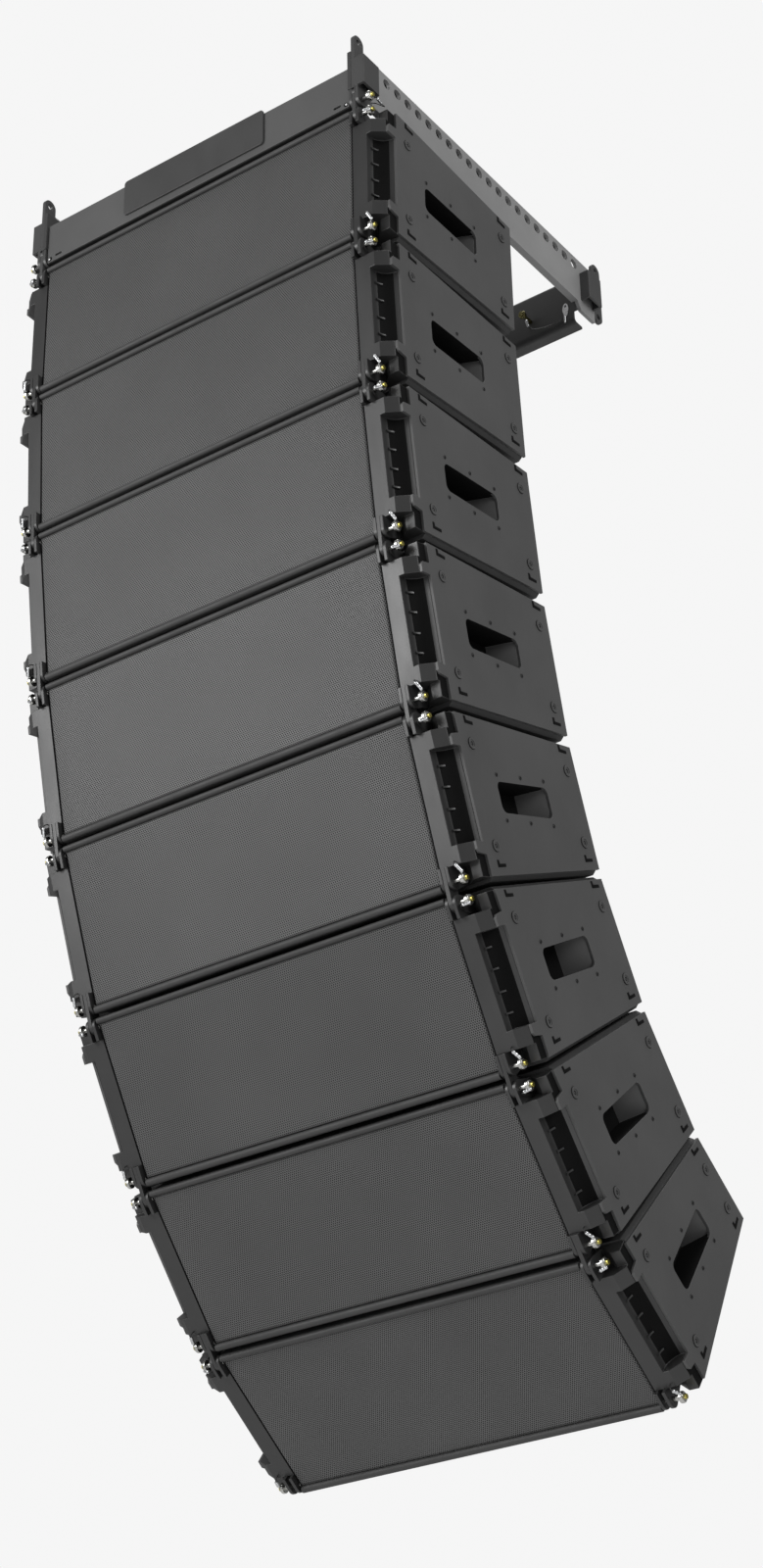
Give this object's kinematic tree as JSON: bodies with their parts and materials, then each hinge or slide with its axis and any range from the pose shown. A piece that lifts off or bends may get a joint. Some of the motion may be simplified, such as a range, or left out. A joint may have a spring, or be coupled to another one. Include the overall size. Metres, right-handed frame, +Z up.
{
  "type": "line array loudspeaker",
  "caption": "Tall curved stack of wedge-shaped loudspeaker cabinets hung on hinge pins from a steel top frame, each with its own splay angle.",
  "frame": {"origin": "midpoint, between the two side rails, of the axis through a middle pair of pick holes in the top frame", "axes": "+Z up, +X to the right as seen from the audience in front of the grilles, +Y away from the audience, towards the rear of the cabinets"},
  "size_m": [0.983, 1.1706, 2.684],
  "materials": {
    "frame_steel": "satin",
    "fascia_paint": "matte",
    "cabinet_paint": "matte",
    "side_plate_paint": "matte",
    "grille_steel": "satin",
    "rigging_paint": "satin",
    "driver": "matte",
    "pin_steel": "satin"
  },
  "bodies": {
    "frame": {"frame_rails": "frame_steel", "frame_crossbeams": "frame_steel", "frame_fascia": "fascia_paint", "frame_fittings": "frame_steel"},
    "module_1": {"cabinet_1": "cabinet_paint", "side_plates_1": "side_plate_paint", "grille_1": "grille_steel", "rigging_1": "rigging_paint", "drivers_1": "driver"},
    "pins_left_1": {"pins_left_1": "pin_steel"},
    "pins_right_1": {"pins_right_1": "pin_steel"},
    "module_2": {"cabinet_2": "cabinet_paint", "side_plates_2": "side_plate_paint", "grille_2": "grille_steel", "rigging_2": "rigging_paint", "drivers_2": "driver"},
    "pins_left_2": {"pins_left_2": "pin_steel"},
    "pins_right_2": {"pins_right_2": "pin_steel"},
    "module_3": {"cabinet_3": "cabinet_paint", "side_plates_3": "side_plate_paint", "grille_3": "grille_steel", "rigging_3": "rigging_paint", "drivers_3": "driver"},
    "pins_left_3": {"pins_left_3": "pin_steel"},
    "pins_right_3": {"pins_right_3": "pin_steel"},
    "module_4": {"cabinet_4": "cabinet_paint", "side_plates_4": "side_plate_paint", "grille_4": "grille_steel", "rigging_4": "rigging_paint", "drivers_4": "driver"},
    "pins_left_4": {"pins_left_4": "pin_steel"},
    "pins_right_4": {"pins_right_4": "pin_steel"},
    "module_5": {"cabinet_5": "cabinet_paint", "side_plates_5": "side_plate_paint", "grille_5": "grille_steel", "rigging_5": "rigging_paint", "drivers_5": "driver"},
    "pins_left_5": {"pins_left_5": "pin_steel"},
    "pins_right_5": {"pins_right_5": "pin_steel"},
    "module_6": {"cabinet_6": "cabinet_paint", "side_plates_6": "side_plate_paint", "grille_6": "grille_steel", "rigging_6": "rigging_paint", "drivers_6": "driver"},
    "pins_left_6": {"pins_left_6": "pin_steel"},
    "pins_right_6": {"pins_right_6": "pin_steel"},
    "module_7": {"cabinet_7": "cabinet_paint", "side_plates_7": "side_plate_paint", "grille_7": "grille_steel", "rigging_7": "rigging_paint", "drivers_7": "driver"},
    "pins_left_7": {"pins_left_7": "pin_steel"},
    "pins_right_7": {"pins_right_7": "pin_steel"},
    "module_8": {"cabinet_8": "cabinet_paint", "side_plates_8": "side_plate_paint", "grille_8": "grille_steel", "rigging_8": "rigging_paint", "drivers_8": "driver"},
    "pins_left_8": {"pins_left_8": "pin_steel"},
    "pins_right_8": {"pins_right_8": "pin_steel"}
  },
  "joints": [
    {"name": "splay_1", "type": "hinge", "parent": "frame", "child": "module_1", "pos_m": [0, -0.404, -0.16], "axis": [1, 0, 0], "range_deg": [0, 2.5]},
    {"name": "pins_left_1_pull", "type": "slide", "parent": "module_1", "child": "pins_left_1", "axis": [-1, 0, 0], "range_m": [0, 0.05]},
    {"name": "pins_right_1_pull", "type": "slide", "parent": "module_1", "child": "pins_right_1", "axis": [1, 0, 0], "range_m": [0, 0.05]},
    {"name": "splay_2", "type": "hinge", "parent": "module_1", "child": "module_2", "pos_m": [0, -0.404, -0.5065], "axis": [1, 0, 0], "range_deg": [-3.5, 1.5]},
    {"name": "pins_left_2_pull", "type": "slide", "parent": "module_2", "child": "pins_left_2", "axis": [-1, 0, 0], "range_m": [0, 0.05]},
    {"name": "pins_right_2_pull", "type": "slide", "parent": "module_2", "child": "pins_right_2", "axis": [1, 0, 0], "range_m": [0, 0.05]},
    {"name": "splay_3", "type": "hinge", "parent": "module_2", "child": "module_3", "pos_m": [0, -0.38285, -0.85235], "axis": [1, 0, 0], "range_deg": [-4, 1]},
    {"name": "pins_left_3_pull", "type": "slide", "parent": "module_3", "child": "pins_left_3", "axis": [-1, 0, 0], "range_m": [0, 0.05]},
    {"name": "pins_right_3_pull", "type": "slide", "parent": "module_3", "child": "pins_right_3", "axis": [1, 0, 0], "range_m": [0, 0.05]},
    {"name": "splay_4", "type": "hinge", "parent": "module_3", "child": "module_4", "pos_m": [0, -0.33762, -1.19589], "axis": [1, 0, 0], "range_deg": [-5, 0]},
    {"name": "pins_left_4_pull", "type": "slide", "parent": "module_4", "child": "pins_left_4", "axis": [-1, 0, 0], "range_m": [0, 0.05]},
    {"name": "pins_right_4_pull", "type": "slide", "parent": "module_4", "child": "pins_right_4", "axis": [1, 0, 0], "range_m": [0, 0.05]},
    {"name": "splay_5", "type": "hinge", "parent": "module_4", "child": "module_5", "pos_m": [0, -0.26262, -1.53418], "axis": [1, 0, 0], "range_deg": [-7.5, 0]},
    {"name": "pins_left_5_pull", "type": "slide", "parent": "module_5", "child": "pins_left_5", "axis": [-1, 0, 0], "range_m": [0, 0.05]},
    {"name": "pins_right_5_pull", "type": "slide", "parent": "module_5", "child": "pins_right_5", "axis": [1, 0, 0], "range_m": [0, 0.05]},
    {"name": "splay_6", "type": "hinge", "parent": "module_5", "child": "module_6", "pos_m": [0, -0.14411, -1.85978], "axis": [1, 0, 0], "range_deg": [-10, 0]},
    {"name": "pins_left_6_pull", "type": "slide", "parent": "module_6", "child": "pins_left_6", "axis": [-1, 0, 0], "range_m": [0, 0.05]},
    {"name": "pins_right_6_pull", "type": "slide", "parent": "module_6", "child": "pins_right_6", "axis": [1, 0, 0], "range_m": [0, 0.05]},
    {"name": "splay_7", "type": "hinge", "parent": "module_6", "child": "module_7", "pos_m": [0, 0.02914, -2.15986], "axis": [1, 0, 0], "range_deg": [-10, 0]},
    {"name": "pins_left_7_pull", "type": "slide", "parent": "module_7", "child": "pins_left_7", "axis": [-1, 0, 0], "range_m": [0, 0.05]},
    {"name": "pins_right_7_pull", "type": "slide", "parent": "module_7", "child": "pins_right_7", "axis": [1, 0, 0], "range_m": [0, 0.05]},
    {"name": "splay_8", "type": "hinge", "parent": "module_7", "child": "module_8", "pos_m": [0, 0.25186, -2.42529], "axis": [1, 0, 0], "range_deg": [-13.5, 0]},
    {"name": "pins_left_8_pull", "type": "slide", "parent": "module_8", "child": "pins_left_8", "axis": [-1, 0, 0], "range_m": [0, 0.05]},
    {"name": "pins_right_8_pull", "type": "slide", "parent": "module_8", "child": "pins_right_8", "axis": [1, 0, 0], "range_m": [0, 0.05]}
  ]
}
